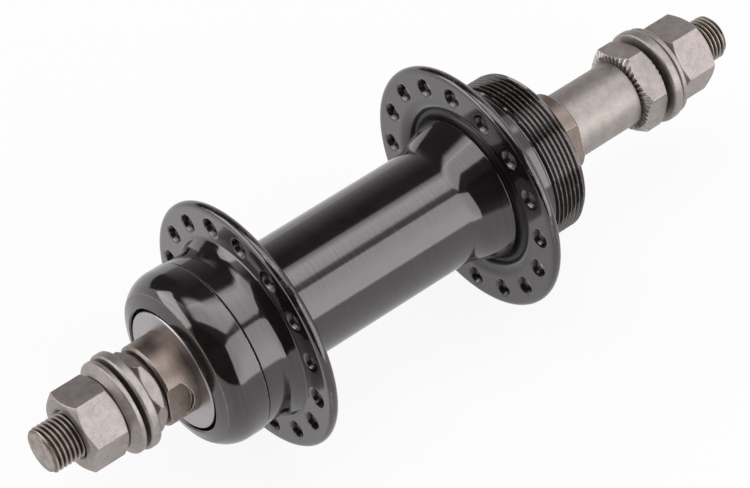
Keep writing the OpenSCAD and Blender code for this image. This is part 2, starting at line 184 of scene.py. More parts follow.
# Colours
BLACK_DEEP, BLACK_WARM = (0.0055, 0.004, 0.0042), (0.009, 0.007, 0.0075)
BRONZE_DARK, BRONZE_LIGHT = (0.16, 0.12, 0.085), (0.6, 0.52, 0.43)
THREAD_DARK, THREAD_LIGHT = (0.06, 0.045, 0.035), (0.46, 0.395, 0.365)
BALL_FILM, BALL_CLEAN = (0.7, 0.69, 0.67), (0.82, 0.82, 0.83)
STEEL_WORN_EDGE_AND_HIGHLIGHT = (0.72, 0.67, 0.64)
STAIN_SHARES = (0.8, 0.66, 0.5)


# Node trees
class Graph:
    """A short way to build a node tree: values are numbers, tuples or output sockets."""

    def __init__(self, tree):
        self.tree = tree

    def feed(self, socket, value):
        if isinstance(value, bpy.types.NodeSocket):
            self.tree.links.new(value, socket)
        else:
            socket.default_value = value

    def node(self, kind, values=None, **settings):
        made = self.tree.nodes.new(kind)
        for name, value in settings.items():
            setattr(made, name, value)
        for key, value in (values or {}).items():
            self.feed(made.inputs[key], value)
        return made

    def calc(self, operation, *values, clamp=False):
        made = self.node("ShaderNodeMath", operation=operation, use_clamp=clamp)
        for socket, value in zip(made.inputs, values):
            self.feed(socket, value)
        return made.outputs[0]

    def total(self, first, *others):
        for other in others:
            first = self.calc("ADD", first, other)
        return first

    def times(self, first, *others):
        for other in others:
            first = self.calc("MULTIPLY", first, other)
        return first

    def less(self, first, second):
        return self.calc("SUBTRACT", first, second)

    def length(self, across, along):
        return self.calc("SQRT", self.total(self.times(across, across), self.times(along, along)))

    def smooth(self, value, low, high, to_low=0.0, to_high=1.0):
        """A soft step from to_low at low to to_high at high."""
        made = self.node("ShaderNodeMapRange", interpolation_type="SMOOTHSTEP")
        for socket, number in zip(made.inputs, (value, low, high, to_low, to_high)):
            self.feed(socket, number)
        return made.outputs[0]

    def zone(self, value, low, high, soft):
        """1 between low and high, 0 outside, with soft flanks."""
        return self.times(self.smooth(value, low - soft, low),
                          self.smooth(value, high, high + soft, 1.0, 0.0))

    def vector(self, x, y, z):
        made = self.node("ShaderNodeCombineXYZ")
        for socket, number in zip(made.inputs, (x, y, z)):
            self.feed(socket, number)
        return made.outputs[0]

    def split(self, vector):
        return self.node("ShaderNodeSeparateXYZ", {0: vector}).outputs

    def attribute(self, name):
        made = self.node("GeometryNodeInputNamedAttribute", {"Name": name}, data_type="FLOAT")
        return made.outputs["Attribute"]


def new_tree(name, numbers):
    """A Geometry Nodes tree with one mesh in, named numbers and a material, and its two ends."""
    tree = bpy.data.node_groups.new(name, "GeometryNodeTree")
    tree.interface.new_socket("Mesh", in_out="INPUT", socket_type="NodeSocketGeometry")
    for label in numbers:
        kind = "NodeSocketInt" if label.startswith("Count") else "NodeSocketFloat"
        tree.interface.new_socket(label, in_out="INPUT", socket_type=kind)
    tree.interface.new_socket("Material", in_out="INPUT", socket_type="NodeSocketMaterial")
    tree.interface.new_socket("Mesh", in_out="OUTPUT", socket_type="NodeSocketGeometry")
    graph = Graph(tree)
    return graph, graph.node("NodeGroupInput").outputs, graph.node("NodeGroupOutput").inputs


def close_tree(graph, given, ends, geometry):
    """Ends a tree with Realize Instances, Merge by Distance and Set Material."""
    real = graph.node("GeometryNodeRealizeInstances", {0: geometry})
    welded = graph.node("GeometryNodeMergeByDistance",
                        {"Geometry": real.outputs[0], "Distance": WELD})
    painted = graph.node("GeometryNodeSetMaterial",
                         {"Geometry": welded.outputs[0], "Material": given["Material"]})
    graph.feed(ends[0], painted.outputs[0])
    return graph.tree


def ring_repeat_tree():
    """Repeats a sector Count times around Y."""
    graph, given, ends = new_tree("ring_repeat", ["Count"])
    points = graph.node("GeometryNodePoints", {"Count": given["Count"]})
    step = graph.calc("DIVIDE", -2 * math.pi, given["Count"])
    index = graph.node("GeometryNodeInputIndex").outputs[0]
    turn = graph.vector(0.0, graph.times(index, step), 0.0)
    copies = graph.node("GeometryNodeInstanceOnPoints", {
        "Points": points.outputs[0], "Instance": given["Mesh"], "Rotation": turn})
    return close_tree(graph, given, ends, copies.outputs[0])


def helical_thread_tree():
    """Winds a tube's rows into a right-hand thread that runs out under a bevel at each end."""
    graph, given, ends = new_tree("helical_thread", [
        "Pitch", "Root radius", "Depth", "Low end", "Low radius", "High end", "High radius"])
    turn = graph.attribute("turn")
    along = graph.less(graph.attribute("along"), graph.times(given["Pitch"], turn))
    y = graph.calc("MINIMUM", graph.calc("MAXIMUM", along, given["Low end"]), given["High end"])
    thread = graph.total(given["Root radius"], graph.times(graph.attribute("rise"), given["Depth"]))
    low = graph.total(given["Low radius"], graph.less(y, given["Low end"]))
    high = graph.total(given["High radius"], graph.less(given["High end"], y))
    radius = graph.calc("MINIMUM", thread, graph.calc("MINIMUM", low, high))
    angle = graph.times(turn, 2 * math.pi)
    place = graph.vector(graph.times(radius, graph.calc("COSINE", angle)), y,
                         graph.times(radius, graph.calc("SINE", angle)))
    moved = graph.node("GeometryNodeSetPosition", {"Geometry": given["Mesh"], "Position": place})
    return close_tree(graph, given, ends, moved.outputs[0])


def serration_tree():
    """Cuts Count radial notches into the vertices whose face attribute is 1 or -1."""
    graph, given, ends = new_tree("serrations", ["Count", "Depth", "Share"])
    x, _, z = graph.split(graph.node("GeometryNodeInputPosition").outputs[0])
    turns = graph.calc("DIVIDE", graph.calc("ARCTAN2", z, x), 2 * math.pi)
    tooth = graph.calc("FRACT", graph.total(
        graph.times(turns, given["Count"]), given["Count"], 0.5))
    off = graph.calc("ABSOLUTE", graph.less(tooth, 0.5))
    notch = graph.calc("SUBTRACT", 1.0, graph.calc("DIVIDE", graph.times(off, 2.0), given["Share"]),
                       clamp=True)
    drop = graph.attribute("drop")
    sink = graph.less(graph.calc("MAXIMUM", drop, graph.times(notch, given["Depth"])), drop)
    shift = graph.vector(0.0, graph.times(sink, graph.attribute("face"), -1.0), 0.0)
    moved = graph.node("GeometryNodeSetPosition", {"Geometry": given["Mesh"], "Offset": shift})
    return close_tree(graph, given, ends, moved.outputs[0])


def evaluated_mesh(piece):
    """The mesh of a piece with its modifier applied; the modifier is removed."""
    graph = bpy.context.evaluated_depsgraph_get()
    graph.update()
    made = bpy.data.meshes.new_from_object(piece.evaluated_get(graph))
    piece.modifiers.clear()
    return made


def run_tree(piece, tree, values, material):
    """Runs a tree on a piece and keeps the result as the piece's own mesh."""
    added = piece.modifiers.new("shape", "NODES")
    added.node_group = tree
    given = {**values, "Material": material}
    for item in tree.interface.items_tree:
        if item.in_out == "INPUT" and item.name in given:
            added[item.identifier] = given[item.name]
    old = piece.data
    piece.data = evaluated_mesh(piece)
    bpy.data.meshes.remove(old)
    return piece


# Meshes
def link(name, data):
    """A new object in the scene."""
    made = bpy.data.objects.new(name, data)
    bpy.context.scene.collection.objects.link(made)
    return made


def new_piece(name, points, faces, marks=None):
    """An object from points in millimetres; marks are float attributes on its vertices."""
    mesh = bpy.data.meshes.new(name)
    mesh.from_pydata([tuple(c * MM for c in p) for p in points], [], faces)
    for label, values in (marks or {}).items():
        mesh.attributes.new(label, "FLOAT", "POINT").data.foreach_set("value", values)
    return link(name, mesh)


def finish_mesh(piece, material):
    """Welds a piece, turns its faces outwards, smooths it and gives it one material."""
    mesh = piece.data
    form = bmesh.new()
    form.from_mesh(mesh)
    bmesh.ops.remove_doubles(form, verts=form.verts, dist=WELD)
    bmesh.ops.dissolve_degenerate(form, edges=form.edges, dist=WELD / 4)
    bmesh.ops.recalc_face_normals(form, faces=form.faces)
    loose = [e for e in form.edges if len(e.link_faces) != 2]
    assert not loose, f"{piece.name} has {len(loose)} open edges"
    for edge in form.edges:
        edge.smooth = edge.calc_face_angle(0.0) < SMOOTH_BELOW
    for face in form.faces:
        face.smooth = True
        face.material_index = 0
    form.to_mesh(mesh)
    form.free()
    for label in ("along", "rise", "turn", "face", "drop"):
        if label in mesh.attributes:
            mesh.attributes.remove(mesh.attributes[label])
    mesh.materials.clear()
    mesh.materials.append(material)
    return piece


def join(pieces, name):
    """Joins pieces into one object."""
    form = bmesh.new()
    for piece in pieces:
        form.from_mesh(piece.data)
    mesh = bpy.data.meshes.new(name)
    form.to_mesh(mesh)
    form.free()
    for piece in pieces:
        old = piece.data
        bpy.data.objects.remove(piece)
        bpy.data.meshes.remove(old)
    return link(name, mesh)


def polar(radius, degrees):
    """The X and Z of a point at a radius and an angle from +X towards +Z."""
    return radius * math.cos(math.radians(degrees)), radius * math.sin(math.radians(degrees))


def arc(centre_r, centre_y, radius, start, end, steps):
    """Points of an arc in the plane of radius and height, in degrees from the radius axis."""
    turns = [math.radians(start + (end - start) * i / steps) for i in range(steps + 1)]
    return [(centre_r + radius * math.cos(t), centre_y + radius * math.sin(t)) for t in turns]


def softened(outline, corners, steps):
    """Rounds the outline's vertices nearest to the given corners, each over its own reach."""
    points = [np.array(p, float) for p in outline]
    for corner_r, corner_y, reach in corners:
        corner = np.array([corner_r, corner_y])
        at = min(range(len(points)), key=lambda i: np.linalg.norm(points[i] - corner))
        table = np.array(points)
        legs = np.linalg.norm(np.diff(table, axis=0), axis=1)
        run = np.concatenate([[0.0], np.cumsum(legs)])
        start, end = [np.array([np.interp(run[at] + way * reach, run, table[:, i]) for i in (0, 1)])
                      for way in (-1, 1)]
        curve = []
        for k in range(steps + 1):
            t = k / steps
            curve.append(start * (1 - t) ** 2 + 2 * points[at] * t * (1 - t) + end * t ** 2)
        before = [p for p, s in zip(points, run) if s < run[at] - reach - WELD]
        after = [p for p, s in zip(points, run) if s > run[at] + reach + WELD]
        points = before + curve + after
    return [tuple(p) for p in points]


def bridged(low, high):
    """Quads between two closed rings of vertices; a vertex that repeats in a quad is dropped."""
    faces = []
    for k in range(len(low)):
        n = (k + 1) % len(low)
        loop = [low[k], low[n], high[n], high[k]]
        faces.append([v for i, v in enumerate(loop) if v != loop[i - 1]])
    return faces


def turned(name, outline, closed=False, sides=SIDES):
    """A surface turned about Y; a point at radius 0 becomes one pole vertex."""
    points, rows, faces = [], [], []
    for radius, y in outline:
        if radius == 0:
            rows.append([len(points)] * sides)
            points.append((0, y, 0))
            continue
        rows.append(list(range(len(points), len(points) + sides)))
        for k in range(sides):
            x, z = polar(radius, 360 * k / sides)
            points.append((x, y, z))
    for low, high in zip(rows, rows[1:]):
        faces += bridged(low, high)
    if closed:
        faces += bridged(rows[-1], rows[0])
    return new_piece(name, points, faces)


def thread(name, tree, pitch, root, crest, low, low_r, high, high_r, material, sides=SIDES):
    """An open tube that the tree winds into a thread between two rings."""
    form = [(0.0, 0.0), (0.09, 0.0), (0.38, 0.86), (0.42, 0.97), (0.46, 1.0), (0.54, 1.0),
            (0.58, 0.97), (0.62, 0.86), (0.91, 0.0)]
    points, along, rise, turn = [], [], [], []
    count = math.ceil((high - low) / pitch) + 2
    rows = [(low - pitch + (i + u) * pitch, h) for i in range(count + 1) for u, h in form]
    for y, h in rows:
        for k in range(sides + 1):
            x, z = polar(root, 360 * k / sides)
            points.append((x, y, z))
            along.append(y * MM)
            rise.append(h)
            turn.append(k / sides)
    wide = sides + 1
    faces = [[i * wide + k, i * wide + k + 1, (i + 1) * wide + k + 1, (i + 1) * wide + k]
             for i in range(len(rows) - 1) for k in range(sides)]
    piece = new_piece(name, points, faces, {"along": along, "rise": rise, "turn": turn})
    return run_tree(piece, tree, {
        "Pitch": pitch * MM, "Root radius": root * MM, "Depth": (crest - root) * MM,
        "Low end": low * MM, "Low radius": low_r * MM,
        "High end": high * MM, "High radius": high_r * MM,
    }, material)


def flange_band(name, tree, inner_y, outer_y, phase, material):
    """The flat band of a flange with its ring of countersunk holes: one sector, repeated."""
    step = 360 / SIDES
    half = SIDES // SPOKES // 2
    edge = [(BAND_OUT, step * i) for i in range(half, -half, -1)]
    edge += [(BAND_OUT + (BAND_IN - BAND_OUT) * i / half, -step * half) for i in range(half)]
    edge += [(BAND_IN, step * i) for i in range(-half, half)]
    edge += [(BAND_IN + (BAND_OUT - BAND_IN) * i / half, step * half) for i in range(half)]
    sides = len(edge)
    way = 1 if outer_y > inner_y else -1
    size = abs(outer_y - inner_y)
    # The rolled edge touches the flat face and the 45 degree countersink
    roll_r = SINK_R + SINK_ROLL * math.tan(math.radians(22.5))
    sink = [(SINK_EDGE, 0.0)] + arc(roll_r, SINK_ROLL, SINK_ROLL, -90, -135, 6)
    sink += [(HOLE_R + 0.08, 0.72), (HOLE_R + 0.02, 0.8), (HOLE_R, 0.92)]
    profile = sink + [(r, size - y) for r, y in reversed(sink)]
    points, faces, rings = [], [], []

    def ring(flat, y):
        rings.append(range(len(points), len(points) + sides))
        points.extend((x, inner_y + way * y, z) for x, z in flat)

    rim = [polar(r, phase + a) for r, a in edge]
    centre = polar(HOLE_CIRCLE, phase)
    ring(rim, 0.0)
    for radius, y in profile:
        spots = [polar(radius, phase + HOLE_START - 360 / sides * i) for i in range(sides)]
        ring([(centre[0] + x, centre[1] + z) for x, z in spots], y)
    ring(rim, size)
    for low, high in zip(rings, rings[1:]):
        faces += bridged(low, high)
    return run_tree(new_piece(name, points, faces), tree, {"Count": SPOKES}, material)


def hexagon(name, way, turn, af, near, far, face_r, slope, bore, columns=96, face_rings=()):
    """A nut on the left (way 1) or right (way -1): six flats under a bevel cone at each end. The
    bore's outline runs from the near face to the far one. The faces carry the serration marks."""
    low, high = (near, far) if way > 0 else (-far, -near)
    bore = bore if way > 0 else [(r, -y) for r, y in reversed(bore)]
    points, face, drop, rings = [], [], [], []
    rise = math.tan(math.radians(slope))

    def ring(radius_of, y, side, drop_of):
        rings.append(range(len(points), len(points) + columns))
        for k in range(columns):
            radius = radius_of(k)
            x, z = polar(radius, turn + 360 * k / columns)
            points.append((x, y - side * drop_of(radius), z))
            face.append(side)
            drop.append(drop_of(radius) * MM)

    def plain(radius, y, side=0):
        ring(lambda k: radius, y, side, lambda r: 0.0)

    def flats(y, side):
        ring(lambda k: af / 2 / math.cos(math.radians(360 * k / columns % 60 - 30)), y, side,
             lambda r: (r - face_r) * rise)

    for radius, y in bore[1:]:
        plain(radius, y)
    for radius in (*face_rings, face_r):
        plain(radius, high, 1)
    flats(high, 1)
    flats(low, -1)
    for radius in (face_r, *reversed(face_rings)):
        plain(radius, low, -1)
    plain(*bore[0])
    faces = []
    for first, second in zip(rings, rings[1:] + rings[:1]):
        faces += bridged(first, second)
    return new_piece(name, points, faces, {"face": face, "drop": drop})


def worn_edges(piece, width):
    """Bevels the edges of a piece slightly, as tumbling and use leave them."""
    added = piece.modifiers.new("edges", "BEVEL")
    added.width = width * MM
    added.segments = 2
    added.limit_method = "ANGLE"
    added.angle_limit = math.radians(24)
    piece.data = evaluated_mesh(piece)
    return piece


# Materials
class Finish(Graph):
    """A material's graph, with the point's spot, radius, height y and turn about the axle."""

    def __init__(self, name, **constants):
        self.material = bpy.data.materials.new(name)
        self.material.use_nodes = True
        super().__init__(self.material.node_tree)
        self.shader = self.tree.nodes["Principled BSDF"]
        self.paint(**constants)
        coords = self.node("ShaderNodeTexCoord").outputs["Object"]
        self.spot = self.node("ShaderNodeVectorMath", {0: coords, 3: 1 / MM},
                              operation="SCALE").outputs[0]
        x, self.y, z = self.split(self.spot)
        self.radius = self.length(x, z)
        self.turn = self.calc("ARCTAN2", z, x)

    def paint(self, **inputs):
        """Sets the shader's inputs by name: a number or colour directly, a socket by a link."""
        for label, value in inputs.items():
            self.feed(self.shader.inputs[label.replace("_", " ")], value)

    def mixed(self, share, low, high):
        """A colour between two, by a share from 0 to 1."""
        low, high = [end if isinstance(end, bpy.types.NodeSocket) else (*end, 1.0)
                     for end in (low, high)]
        return self.node("ShaderNodeMix", {0: share, 6: low, 7: high}, data_type="RGBA").outputs[2]

    def noise(self, scale, detail=3.0, rough=0.55, spot=None):
        """A noise between 0 and 1 at the point, or at another spot."""
        made = self.node("ShaderNodeTexNoise", {
            "Vector": self.spot if spot is None else spot,
            "Scale": scale, "Detail": detail, "Roughness": rough})
        return made.outputs["Fac"]

    def stretched(self, factors):
        """The point's spot with its axes scaled apart."""
        return self.node("ShaderNodeVectorMath", {0: self.spot, 1: factors},
                         operation="MULTIPLY").outputs[0]

    def lathe_lines(self, fine):
        """Streaks that run round the axle, as a lathe leaves them on cylinders and on faces."""
        along = self.total(self.y, self.times(self.radius, 0.8))
        return self.noise(1.0, rough=0.5, spot=self.vector(
            self.times(along, fine), self.times(self.turn, 1.2), 0.0))

    def bump(self, height, depth, **normal):
        """Raises the surface by a height from 0 to 1, depth in millimetres."""
        made = self.node("ShaderNodeBump", {"Height": height, "Distance": depth * MM, **normal})
        self.paint(Normal=made.outputs[0])


def hole_distance(look, phase):
    """Distance from the axis of the nearest spoke hole in a ring that starts at a phase."""
    step = math.radians(SPOKE_STEP)
    share = look.calc("DIVIDE", look.less(look.turn, math.radians(phase)), step)
    across = look.times(look.less(share, look.calc("ROUND", share)), step, HOLE_CIRCLE)
    return look.length(across, look.less(look.radius, HOLE_CIRCLE))


def worn_places(look, grit, rub):
    """Where the black is rubbed off: patches on the rims, seam, crease and thread crests."""
    scuff = look.noise(1.0, spot=look.vector(
        look.times(look.radius, 3.0), look.times(look.y, 3.0), look.times(look.turn, 9.0)))
    crown = look.total(look.zone(look.y, LEFT_IN + 0.9, LEFT_OUT - 0.3, 0.3),
                       look.zone(look.y, RIGHT_OUT + 0.9, RIGHT_IN - 0.3, 0.3))
    rims = look.times(look.smooth(look.radius, FLANGE_R - 0.4, FLANGE_R - 0.15), crown,
                      look.smooth(scuff, 0.52, 0.66), look.smooth(rub, 0.4, 0.55), 0.75)
    seam = look.times(look.zone(look.radius, BOSS_R, CAP_R + 0.1, 0.04),
                      look.zone(look.y, SEAM_Y + 0.1, SEAM_Y + 0.32, 0.05))
    crease = look.times(look.zone(look.radius, CREASE_R - 0.12, CREASE_R + 0.12, 0.08),
                        look.zone(look.y, CREASE_Y - 0.12, CREASE_Y + 0.06, 0.05), 0.5)
    crest = look.times(look.zone(look.radius, CREST_R - 0.07, CREST_R + 0.15, 0.05),
                       look.zone(look.y, MOUTH_Y + 0.2, THREAD_Y - RUNOUT - 0.1, 0.1),
                       look.smooth(grit, 0.35, 0.65, 0.06, 0.5))
    lines = look.times(look.total(seam, crease, crest), look.smooth(rub, 0.3, 0.62, 0.3, 1.0))
    return look.calc("MINIMUM", look.total(lines, rims), 1.0)


def dull_and_shaded_places(look):
    """Painted shade: less reflection and more roughness in the seam's gap, the spoke holes and the
    flare's groove.
    """
    gap = look.times(look.zone(look.radius, BOSS_R - 0.6, CAP_R - 0.06, 0.03),
                     look.zone(look.y, SEAM_Y - 0.24, SEAM_Y + 0.14, 0.05))
    left = look.total(hole_distance(look, LEFT_PHASE), look.smooth(look.y, 10.0, -10.0, 0.0, 9.0))
    right = look.total(hole_distance(look, RIGHT_PHASE), look.smooth(look.y, -10.0, 10.0, 0.0, 9.0))
    away = look.calc("MINIMUM", left, right)
    hole = look.total(look.smooth(away, SINK_R - 0.1, 1.6, 0.0, 0.6),
                      look.smooth(away, 1.6, HOLE_R, 0.0, 0.4))
    hole = look.times(hole, look.smooth(look.radius, BAND_IN + 0.02, BAND_IN + 0.22))
    groove = look.times(look.zone(look.radius, GROOVE_R - 1.4, GROOVE_R + 0.8, 0.3),
                        look.zone(look.y, RIGHT_IN - 2.4, RIGHT_IN - 0.3, 0.25))
    return look.calc("MAXIMUM", gap, look.calc("MAXIMUM", hole, groove))


def black_plating():
    """Gloss black over turned steel, worn to bronze on rims, seams and thread crests."""
    look = Finish("black_plating", IOR=1.79, Specular_Tint=(1.0, 0.93, 0.95, 1.0))
    lines = look.lathe_lines(9.0)
    grit = look.noise(3.4, 5.0, 0.7)
    rub = look.noise(0.28, 5.0, 0.65)
    worn = worn_places(look, grit, rub)
    # Painted shade in the recesses: the seam's gap, the spoke holes and the groove reflect less
    dull_and_shade = dull_and_shaded_places(look)
    # A painted sheen: the flat flange faces get a higher specular level than the rest of the
    # plating
    faces = look.total(look.smooth(look.y, LEFT_OUT - 0.3, LEFT_OUT - 0.05),
                       look.times(look.zone(look.y, RIGHT_IN - 0.05, RIGHT_IN + 0.1, 0.25), 0.4))
    faces = look.times(faces, look.smooth(look.radius, 19.2, 20.4), look.smooth(dull_and_shade, 0.3, 0.0))
    tone = look.mixed(look.smooth(rub, 0.35, 0.65), BLACK_DEEP, BLACK_WARM)
    bronze = look.mixed(look.smooth(grit, 0.45, 0.7), BRONZE_DARK, BRONZE_LIGHT)
    # Specular level: lowered in the recesses as painted shade, raised on the flange faces as a
    # painted sheen
    gloss = look.total(look.smooth(dull_and_shade, 0.0, 1.0, 0.43, 0.12),
                       look.times(look.smooth(lines, 0.3, 0.7), 0.11), look.times(faces, 0.5))
    rough = look.total(0.07, look.times(look.smooth(lines, 0.35, 0.75), 0.06),
                       look.times(worn, 0.2), look.times(dull_and_shade, 0.25))
    look.paint(Base_Color=look.mixed(worn, tone, bronze), Metallic=worn, Specular_IOR_Level=gloss,
               Roughness=rough)
    raised = look.total(look.times(lines, 0.8), look.times(look.smooth(grit, 0.55, 0.8), 0.5))
    look.bump(raised, 0.003)
    return look.material


def steel(name, dark, light, rough, fine, streak, pits=0.5, stain=0.25):
    """Dull steel: clouds of two greys, turning streaks, pits, brown stains, and edges painted
    lighter: partly wear, partly a painted highlight.
    """
    look = Finish(name, Metallic=1.0)
    cloud = look.smooth(look.noise(0.5, 6.0, 0.7), 0.3, 0.7)
    grain = look.noise(5.5, 4.0, 0.75)
    lines = look.lathe_lines(fine)
    patch = look.smooth(look.noise(0.3, 4.0, 0.65, look.stretched((1.0, 1.4, 0.8))), 0.55, 0.78)
    share = look.calc("ADD", look.times(cloud, 0.36),
                      look.times(look.smooth(grain, 0.35, 0.65), 0.5), clamp=True)
    share = look.calc("ADD", share, look.times(look.less(lines, 0.5), streak), clamp=True)
    brown = tuple(c * k for c, k in zip(dark, STAIN_SHARES))
    tone = look.mixed(look.times(patch, stain), look.mixed(share, dark, light), brown)
    rounded = look.node("ShaderNodeBevel", {"Radius": 0.2 * MM}, samples=6).outputs[0]
    flat = look.node("ShaderNodeNewGeometry").outputs["True Normal"]
    facing = look.node("ShaderNodeVectorMath", {0: rounded, 1: flat}, operation="DOT_PRODUCT")
    # Edges are painted lighter: partly worn metal, partly a painted highlight along them
    edge = look.times(look.smooth(facing.outputs["Value"], 0.995, 0.93),
                      look.smooth(look.noise(1.1, 4.0), 0.35, 0.6, 0.45, 1.0))
    look.paint(Base_Color=look.mixed(edge, tone, STEEL_WORN_EDGE_AND_HIGHLIGHT),
               Roughness=look.total(rough - 0.07, look.times(share, 0.08), look.times(grain, 0.08)))
    look.bump(look.total(look.times(grain, pits), look.times(lines, 0.5)), 0.018, Normal=rounded)
    return look.material


def axle_steel():
    """Rolled thread: darker roots, lighter crests and mottled ends."""
    look = Finish("axle_steel", Metallic=1.0)
    grain = look.noise(3.0, 5.0, 0.7)
    # The crests are painted lighter than the roots
    crest = look.times(look.smooth(look.radius, AXLE_ROOT + 0.1, AXLE_R - 0.01),
                       look.smooth(grain, 0.3, 0.6, 0.55, 1.0))
    end = look.times(look.smooth(look.calc("ABSOLUTE", look.y), AXLE_END - 0.8, AXLE_END - 0.1),
                     look.smooth(look.radius, 4.4, 3.8, 0.4, 1.0),
                     look.smooth(look.noise(0.5, 5.0, 0.7), 0.35, 0.65, 0.4, 0.85))
    look.paint(Base_Color=look.mixed(look.calc("MAXIMUM", crest, end), THREAD_DARK, THREAD_LIGHT),
               Roughness=look.total(0.3, look.times(grain, 0.22)))
    look.bump(grain, 0.03)
    return look.material


def ball_steel():
    """Polished bearing steel with a trace of grease."""
    look = Finish("ball_steel", Metallic=1.0)
    film = look.noise(0.8)
    look.paint(Base_Color=look.mixed(film, BALL_FILM, BALL_CLEAN),
               Roughness=look.total(0.05, look.times(film, 0.12)))
    return look.material


# The hub
def rim_outline(upper, lower):
    """The rounded rim of a flange between its two faces, from upper to lower."""
    centre = FLANGE_R - RIM_ROUND
    above = arc(centre, upper - RIM_ROUND, RIM_ROUND, 90, 0, 6)
    below = arc(centre, lower + RIM_ROUND, RIM_ROUND, 0, -90, 6)
    return [(BAND_OUT, upper)] + above + below + [(BAND_OUT, lower)]


def waist_outline():
    """From the left flange's inner face over barrel, flare and groove to the right flange."""
    outline = [(BAND_IN, LEFT_IN)]
    outline += arc(BARREL_R + NECK_ROUND, LEFT_IN - NECK_ROUND, NECK_ROUND, 90, 180, 10)
    outline += [(BARREL_R, BARREL_Y), (BARREL_R, FLARE_Y)]
    groove = arc(GROOVE_R, 0.0, GROOVE_HALF, 180, 360, 24)
    outline += [(r, RIGHT_IN + y * GROOVE_STRETCH) for r, y in groove] + [(BAND_IN, RIGHT_IN)]
    return softened(outline, [(BARREL_R, FLARE_Y, 1.5), (GROOVE_R - GROOVE_HALF, RIGHT_IN, 0.15),
                              (GROOVE_R + GROOVE_HALF, RIGHT_IN, 1.9)], 14)


def shoulder_outline():
    """From the right flange's outer face over the shoulder to the start of the thread."""
    outline = [(BAND_IN, RIGHT_OUT)]
    outline += arc(SHOULDER_R + SHOULDER_FILLET, RIGHT_OUT - SHOULDER_FILLET, SHOULDER_FILLET,
                   90, 180, 6)
    outline += [(SHOULDER_R, THREAD_Y + SHOULDER_BEVEL), (SHOULDER_R - SHOULDER_BEVEL, THREAD_Y),
                (RUNOUT_R, THREAD_Y), (RUNOUT_R, THREAD_Y - RUNOUT)]
    return softened(outline, [(SHOULDER_R, THREAD_Y + SHOULDER_BEVEL, 0.1),
                              (SHOULDER_R - SHOULDER_BEVEL, THREAD_Y, 0.06)], 3)


def left_end_outline():
    """From the thread's mouth through the bores to the spigot, over the boss to the flange."""
    outline = [(MOUTH_R, MOUTH_Y), (CUP_R, MOUTH_Y), (CUP_R, RIGHT_CUP_Y), (BORE_R, RIGHT_CUP_Y),
               (BORE_R, LEFT_CUP_Y), (CUP_R, LEFT_CUP_Y), (CUP_R, SPIGOT_Y),
               (SPIGOT_R - BOSS_BEVEL, SPIGOT_Y), (SPIGOT_R, SPIGOT_Y - BOSS_BEVEL),
               (SPIGOT_R, SEAM_Y), (BOSS_R - BOSS_BEVEL, SEAM_Y), (BOSS_R, SEAM_Y - BOSS_BEVEL)]
    outline += arc(BOSS_R + FILLET_R, FILLET_Y, FILLET_R, 180, 212, 8)
    outline += [(FOOT_R, LEFT_OUT), (BAND_IN, LEFT_OUT)]
    return softened(outline, [
        (BOSS_R - BOSS_BEVEL, SEAM_Y, 0.06), (BOSS_R, SEAM_Y - BOSS_BEVEL, 0.1),
        (BOSS_R, FILLET_Y, 0.6), (FOOT_R, LEFT_OUT, 0.37)], 8)


def shell_piece(material, repeat, wind):
    """The shell: turned chains, two bands of spoke holes and the freewheel thread, as one."""
    parts = [
        turned("left_rim", rim_outline(LEFT_OUT, LEFT_IN)),
        turned("waist", waist_outline()),
        turned("right_rim", rim_outline(RIGHT_IN, RIGHT_OUT)),
        turned("shoulder", shoulder_outline()),
        turned("left_end", left_end_outline()),
        flange_band("left_band", repeat, LEFT_IN, LEFT_OUT, LEFT_PHASE, material),
        flange_band("right_band", repeat, RIGHT_IN, RIGHT_OUT, RIGHT_PHASE, material),
        thread("freewheel_thread", wind, FREEWHEEL_PITCH, ROOT_R, CREST_R,
               MOUTH_Y, MOUTH_R, THREAD_Y - RUNOUT, RUNOUT_R, material),
    ]
    return finish_mesh(join(parts, "shell"), material)


def cap_piece(material):
    """The rounded cap over the left end, with softened seam, crease and lip."""
    inner_r = SPIGOT_R + CAP_FIT
    top = SPIGOT_Y + CAP_FIT
    outline = [(LEDGE_R, top), (inner_r, top), (inner_r, SEAM_Y), (CAP_R - CAP_BEVEL, SEAM_Y),
               (CAP_R, SEAM_Y + CAP_BEVEL)]
    outline += arc(CAP_R - CAP_ROUND, CAP_ROUND_Y, CAP_ROUND, 0, CAP_ROUND_END, 16)
    outline += [(CAP_MOUTH_R + CAP_LIP, CAP_FACE_Y), (CAP_MOUTH_R, CAP_FACE_Y - CAP_LIP),
                (CAP_MOUTH_R, LEDGE_Y), (LEDGE_R, LEDGE_Y)]
    outline = softened(outline, [
        (CAP_R - CAP_BEVEL, SEAM_Y, 0.06), (CAP_R, SEAM_Y + CAP_BEVEL, 0.1),
        (CREASE_R, CREASE_Y, 0.16), (CAP_MOUTH_R + CAP_LIP, CAP_FACE_Y, 0.1),
        (CAP_MOUTH_R, CAP_FACE_Y - CAP_LIP, 0.1)], 4)
    return finish_mesh(turned("end_cap", outline, closed=True), material)


def axle_piece(material, wind):
    """The axle: plain middle, wound threads and bevelled ends."""
    crest, root, tip = AXLE_R, AXLE_ROOT, AXLE_R - AXLE_BEVEL
    start = AXLE_THREAD_Y
    ramp = start - 0.4
    middle = [(root, start), (crest, ramp), (crest, LEFT_CONE_Y), (AXLE_WAIST, LEFT_CONE_Y),
              (AXLE_WAIST, RIGHT_CONE_Y), (crest, RIGHT_CONE_Y), (crest, -ramp), (root, -start)]
    parts = [turned("middle", middle, sides=AXLE_SIDES)]
    for way in (1, -1):
        end = [(r, AXLE_END * way) for r in (0, 2.6, 3.7, tip)]
        parts.append(turned("end", end, sides=AXLE_SIDES))
    parts.append(thread("left_thread", wind, AXLE_PITCH, root, crest,
                        start, root, AXLE_END, tip, material, AXLE_SIDES))
    parts.append(thread("right_thread", wind, AXLE_PITCH, root, crest,
                        -AXLE_END, tip, -start, root, material, AXLE_SIDES))
    return finish_mesh(join(parts, "axle_rod"), material)


